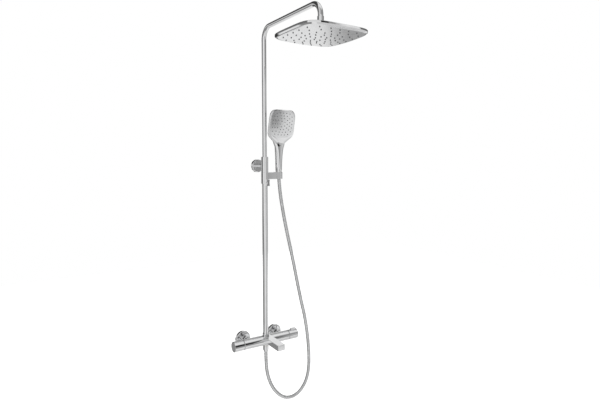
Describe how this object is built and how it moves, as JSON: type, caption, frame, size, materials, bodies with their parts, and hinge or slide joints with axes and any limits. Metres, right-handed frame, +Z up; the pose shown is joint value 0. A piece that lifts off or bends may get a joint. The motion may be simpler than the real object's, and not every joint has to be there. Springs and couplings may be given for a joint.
{
  "type": "rainfall shower column",
  "caption": "Chrome shower column with bar mixer and spout, telescopic riser, swivelling arm, tilting square rain head and a hand shower on a sliding holder.",
  "frame": {"origin": "on the finished wall, midway between the axes of the two water inlets", "axes": "+X to the right seen from the room, +Y into the wall along the inlet unions, +Z up along the riser"},
  "size_m": [0.3669, 0.606, 1.5576],
  "materials": {
    "chrome": "polished",
    "chromed_plastic": "polished",
    "spray_face": "satin",
    "silicone": "matte",
    "hose": "ribbed satin",
    "black_rubber": "matte",
    "grey_plastic": "matte",
    "brass": "machined",
    "steel": "machined"
  },
  "bodies": {
    "root": {"mixer_body": "chrome", "spout": "chrome", "aerator_housing": "chrome", "aerator_insert": "grey_plastic", "flow_cartridge": "grey_plastic", "thermostatic_cartridge": "grey_plastic", "bezel_rings": "grey_plastic", "riser_nut": "chrome", "lower_riser": "chrome", "bracket_sleeve": "chrome", "guide_collar": "grey_plastic", "collar_set_screw": "steel", "bracket_rod": "chrome", "bracket_rosette": "chromed_plastic", "bracket_wall_plate": "steel", "bracket_screws": "steel", "outlet_nipple": "brass", "outlet_washer": "black_rubber", "hose_nut": "chrome", "wall_unions": "chrome", "wall_rosettes": "chromed_plastic", "union_nuts": "chrome", "inlet_filters": "steel", "check_valves": "grey_plastic"},
    "telescope": {"piston_bush": "grey_plastic", "piston_o_rings": "black_rubber"},
    "arm": {"upper_pipe": "chrome", "piston_circlip": "steel", "arm_collar": "chrome", "head_ball": "brass"},
    "ball_ring": {"ball_seat": "grey_plastic"},
    "rain_head": {"socket_nut": "chrome", "ball_seal": "black_rubber", "head_shell": "chromed_plastic", "head_chamber": "grey_plastic", "head_face_plate": "spray_face", "head_nozzles": "silicone"},
    "flow_handle": {"flow_knob": "chromed_plastic", "flow_knob_cap": "chromed_plastic", "flow_spindle": "brass"},
    "temperature_handle": {"temperature_knob": "chromed_plastic", "temperature_knob_cap": "chromed_plastic", "temperature_spindle": "brass", "safety_spring": "steel"},
    "safety_press": {"safety_button": "chromed_plastic"},
    "slider": {"slider_body": "chromed_plastic", "slider_bush": "grey_plastic", "lever_pin": "steel", "shower_hose": "hose"},
    "lever": {"lock_lever": "chromed_plastic"},
    "holder": {"holder_cup": "chromed_plastic", "holder_liner": "grey_plastic", "pivot_screw": "steel", "hose_cone_nut": "chrome", "hand_shower_washer": "black_rubber"},
    "hand_shower": {"hand_shower_shell": "chromed_plastic", "hand_shower_nipple": "brass", "hand_shower_face": "spray_face", "hand_shower_mat": "silicone", "hand_shower_chamber": "grey_plastic"}
  },
  "joints": [
    {"name": "riser_telescope", "type": "slide", "parent": "root", "child": "telescope", "axis": [0, 0, 1], "range_m": [-0.22, 0]},
    {"name": "arm_swivel", "type": "hinge", "parent": "telescope", "child": "arm", "pos_m": [0, -0.07, 0.6], "axis": [0, 0, 1], "range_deg": [-60, 60]},
    {"name": "head_tilt_front", "type": "hinge", "parent": "arm", "child": "ball_ring", "pos_m": [0, -0.46, 1.182], "axis": [1, 0, 0], "range_deg": [-12, 12]},
    {"name": "head_tilt_side", "type": "hinge", "parent": "ball_ring", "child": "rain_head", "pos_m": [0, -0.46, 1.182], "axis": [0, 1, 0], "range_deg": [-12, 12]},
    {"name": "flow_turn", "type": "hinge", "parent": "root", "child": "flow_handle", "pos_m": [-0.125, -0.07, 0], "axis": [1, 0, 0], "range_deg": [-90, 90]},
    {"name": "temperature_turn", "type": "hinge", "parent": "root", "child": "temperature_handle", "pos_m": [0.125, -0.07, 0], "axis": [1, 0, 0], "range_deg": [-60, 150]},
    {"name": "safety_press_slide", "type": "slide", "parent": "temperature_handle", "child": "safety_press", "axis": [0, 0, -1], "range_m": [0, 0.003], "stiffness_N_per_m": 600, "springref_m": -0.001, "deforming": ["safety_spring"]},
    {"name": "holder_height", "type": "slide", "parent": "root", "child": "slider", "axis": [0, 0, 1], "range_m": [-0.25, 0], "deforming": ["shower_hose"]},
    {"name": "lock_lever_swing", "type": "hinge", "parent": "slider", "child": "lever", "pos_m": [0.005, -0.088, 0.664], "axis": [-1, 0, 0], "range_deg": [0, 20], "stiffness_Nm_per_rad": 0.05, "springref_deg": -11.46},
    {"name": "holder_tilt", "type": "hinge", "parent": "slider", "child": "holder", "pos_m": [0.054, -0.07, 0.684], "axis": [1, 0, 0], "range_deg": [-1, 20]},
    {"name": "hand_shower_lift", "type": "slide", "parent": "holder", "child": "hand_shower", "axis": [0, 0, 1], "range_m": [0, 0.06]}
  ]
}
